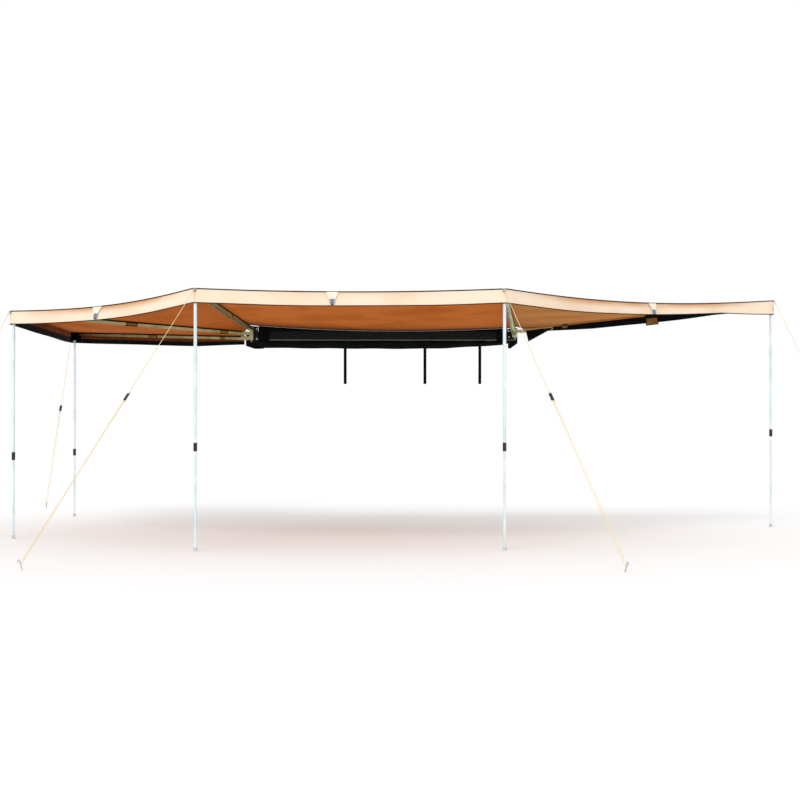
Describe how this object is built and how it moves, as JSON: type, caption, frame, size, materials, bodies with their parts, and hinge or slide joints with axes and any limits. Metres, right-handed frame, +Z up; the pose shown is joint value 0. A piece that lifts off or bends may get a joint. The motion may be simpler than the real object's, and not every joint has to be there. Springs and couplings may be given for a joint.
{
  "type": "vehicle side awning",
  "caption": "Side awning: telescopic legs and hinged arms spread two fans of beige canvas from a rail with a black bag under it.",
  "frame": {"origin": "under the foot of the middle rack bracket, on the face that rests on the carrier bar", "axes": "+X forwards along the rail, +Y inboard over the carrier bars, +Z up"},
  "size_m": [7.8292, 5.5991, 2.0513],
  "materials": {
    "rail": "anodised, with a black coated face",
    "arm_channel": "mill finish",
    "leg_tube": "satin, pale",
    "black_steel": "black powder coat",
    "zinc_steel": "zinc plated",
    "black_plastic": "moulded",
    "cap_plastic": "moulded, blue-grey",
    "canvas": "coated canvas, beige outside and brown inside",
    "bag_cloth": "heavy coated cloth",
    "webbing": "woven webbing",
    "rope": "braided cord"
  },
  "bodies": {
    "root": {"mount_rail": "rail", "rack_bracket_rear": "black_steel", "rack_bracket_middle": "black_steel", "rack_bracket_front": "black_steel", "hub_bracket_rear": "black_steel", "hub_pin_rear": "zinc_steel", "hub_bracket_front": "black_steel", "hub_pin_front": "zinc_steel", "storage_bag": "bag_cloth", "bag_strap_rear": "webbing", "bag_strap_middle": "webbing", "bag_strap_front": "webbing", "keder_strip": "bag_cloth", "canopy_middle": "canvas"},
    "side_rear_arm": {"arm_side_rear": "arm_channel", "corner_cap_side_rear": "cap_plastic", "guy_rope_side_rear": "rope", "ground_peg_side_rear": "zinc_steel", "canopy_rear": "canvas"},
    "side_rear_leg": {"upper_leg_side_rear": "leg_tube"},
    "side_rear_foot": {"lower_leg_side_rear": "leg_tube"},
    "side_rear_collar": {"leg_collar_side_rear": "black_plastic"},
    "side_rear_slider": {"rope_slider_side_rear": "black_plastic"},
    "rear_arm": {"arm_rear": "arm_channel", "corner_cap_rear": "cap_plastic", "guy_rope_rear": "rope", "ground_peg_rear": "zinc_steel", "canopy_tail": "canvas"},
    "rear_leg": {"upper_leg_rear": "leg_tube"},
    "rear_foot": {"lower_leg_rear": "leg_tube"},
    "rear_collar": {"leg_collar_rear": "black_plastic"},
    "rear_slider": {"rope_slider_rear": "black_plastic"},
    "tail_arm": {"arm_tail": "arm_channel", "corner_cap_tail": "cap_plastic", "guy_rope_tail": "rope", "ground_peg_tail": "zinc_steel", "end_valance_tail": "canvas"},
    "tail_leg": {"upper_leg_tail": "leg_tube"},
    "tail_foot": {"lower_leg_tail": "leg_tube"},
    "tail_collar": {"leg_collar_tail": "black_plastic"},
    "tail_slider": {"rope_slider_tail": "black_plastic"},
    "side_front_arm": {"arm_side_front": "arm_channel", "corner_cap_side_front": "cap_plastic", "guy_rope_side_front": "rope", "ground_peg_side_front": "zinc_steel", "canopy_nose": "canvas"},
    "side_front_leg": {"upper_leg_side_front": "leg_tube"},
    "side_front_foot": {"lower_leg_side_front": "leg_tube"},
    "side_front_collar": {"leg_collar_side_front": "black_plastic"},
    "side_front_slider": {"rope_slider_side_front": "black_plastic"},
    "nose_arm": {"arm_nose": "arm_channel", "corner_cap_nose": "cap_plastic", "guy_rope_nose": "rope", "ground_peg_nose": "zinc_steel", "end_valance_nose": "canvas"},
    "nose_leg": {"upper_leg_nose": "leg_tube"},
    "nose_foot": {"lower_leg_nose": "leg_tube"},
    "nose_collar": {"leg_collar_nose": "black_plastic"},
    "nose_slider": {"rope_slider_nose": "black_plastic"}
  },
  "joints": [
    {"name": "swing_side_rear", "type": "hinge", "parent": "root", "child": "side_rear_arm", "pos_m": [-1.12, -0.1063, 0.08], "axis": [0, 0, 1], "range_deg": [0, 95], "deforming": ["canopy_middle"]},
    {"name": "fold_leg_side_rear", "type": "hinge", "parent": "side_rear_arm", "child": "side_rear_leg", "pos_m": [-1.30739, -2.24812, 0.26462], "axis": [0.9962, -0.0872, 0], "range_deg": [0, 86]},
    {"name": "slide_leg_side_rear", "type": "slide", "parent": "side_rear_leg", "child": "side_rear_foot", "axis": [0, 0, 1], "range_m": [-0.08, 0.66]},
    {"name": "twist_collar_side_rear", "type": "hinge", "parent": "side_rear_leg", "child": "side_rear_collar", "pos_m": [-1.30739, -2.24812, -0.82537], "axis": [0, 0, 1], "range_deg": [0, 90]},
    {"name": "slide_rope_side_rear", "type": "slide", "parent": "side_rear_arm", "child": "side_rear_slider", "axis": [-0.3968, -0.49, -0.7762], "range_m": [-0.5, 0.8], "deforming": ["guy_rope_side_rear"]},
    {"name": "swing_rear", "type": "hinge", "parent": "side_rear_arm", "child": "rear_arm", "pos_m": [-1.12, -0.1063, 0.08], "axis": [0, 0, 1], "range_deg": [0, 50], "deforming": ["canopy_rear"]},
    {"name": "fold_leg_rear", "type": "hinge", "parent": "rear_arm", "child": "rear_leg", "pos_m": [-2.82875, -1.30278, 0.16857], "axis": [0.5736, -0.8192, 0], "range_deg": [0, 87.5]},
    {"name": "slide_leg_rear", "type": "slide", "parent": "rear_leg", "child": "rear_foot", "axis": [0, 0, 1], "range_m": [-0.08, 0.57]},
    {"name": "twist_collar_rear", "type": "hinge", "parent": "rear_leg", "child": "rear_collar", "pos_m": [-2.82875, -1.30278, -0.92143], "axis": [0, 0, 1], "range_deg": [0, 90]},
    {"name": "slide_rope_rear", "type": "slide", "parent": "rear_arm", "child": "rear_slider", "axis": [-0.4095, -0.2086, -0.8881], "range_m": [-0.5, 0.8], "deforming": ["guy_rope_rear"]},
    {"name": "swing_tail", "type": "hinge", "parent": "rear_arm", "child": "tail_arm", "pos_m": [-1.12, -0.1063, 0.08], "axis": [0, 0, 1], "range_deg": [0, 66], "deforming": ["canopy_tail"]},
    {"name": "fold_leg_tail", "type": "hinge", "parent": "tail_arm", "child": "tail_leg", "pos_m": [-2.85319, 0.93511, 0.12777], "axis": [-0.515, -0.8572, 0], "range_deg": [0, 87.5]},
    {"name": "slide_leg_tail", "type": "slide", "parent": "tail_leg", "child": "tail_foot", "axis": [0, 0, 1], "range_m": [-0.08, 0.53]},
    {"name": "twist_collar_tail", "type": "hinge", "parent": "tail_leg", "child": "tail_collar", "pos_m": [-2.85319, 0.93511, -0.96223], "axis": [0, 0, 1], "range_deg": [0, 90]},
    {"name": "slide_rope_tail", "type": "slide", "parent": "tail_arm", "child": "tail_slider", "axis": [-0.2393, 0.5131, -0.8243], "range_m": [-0.5, 0.8], "deforming": ["guy_rope_tail"]},
    {"name": "swing_side_front", "type": "hinge", "parent": "root", "child": "side_front_arm", "pos_m": [1.12, -0.1513, 0.08], "axis": [0, 0, -1], "range_deg": [0, 83], "deforming": ["canopy_middle"]},
    {"name": "fold_leg_side_front", "type": "hinge", "parent": "side_front_arm", "child": "side_front_leg", "pos_m": [0.86578, -2.22175, 0.26412], "axis": [0.9925, -0.1219, 0], "range_deg": [0, 84.3]},
    {"name": "slide_leg_side_front", "type": "slide", "parent": "side_front_leg", "child": "side_front_foot", "axis": [0, 0, 1], "range_m": [-0.08, 0.66]},
    {"name": "twist_collar_side_front", "type": "hinge", "parent": "side_front_leg", "child": "side_front_collar", "pos_m": [0.86578, -2.22175, -0.82588], "axis": [0, 0, 1], "range_deg": [0, 90]},
    {"name": "slide_rope_side_front", "type": "slide", "parent": "side_front_arm", "child": "side_front_slider", "axis": [0.2763, -0.5666, -0.7763], "range_m": [-0.5, 0.8], "deforming": ["guy_rope_side_front"]},
    {"name": "swing_nose", "type": "hinge", "parent": "side_front_arm", "child": "nose_arm", "pos_m": [1.12, -0.1513, 0.08], "axis": [0, 0, -1], "range_deg": [0, 94], "deforming": ["canopy_nose"]},
    {"name": "fold_leg_nose", "type": "hinge", "parent": "nose_arm", "child": "nose_leg", "pos_m": [3.26705, -0.26382, 0.32706], "axis": [0.0523, 0.9986, 0], "range_deg": [0, 83.8]},
    {"name": "slide_leg_nose", "type": "slide", "parent": "nose_leg", "child": "nose_foot", "axis": [0, 0, 1], "range_m": [-0.08, 0.73]},
    {"name": "twist_collar_nose", "type": "hinge", "parent": "nose_leg", "child": "nose_collar", "pos_m": [3.26705, -0.26382, -0.76294], "axis": [0, 0, 1], "range_deg": [0, 90]},
    {"name": "slide_rope_nose", "type": "slide", "parent": "nose_arm", "child": "nose_slider", "axis": [0.4088, -0.125, -0.904], "range_m": [-0.5, 0.8], "deforming": ["guy_rope_nose"]}
  ]
}
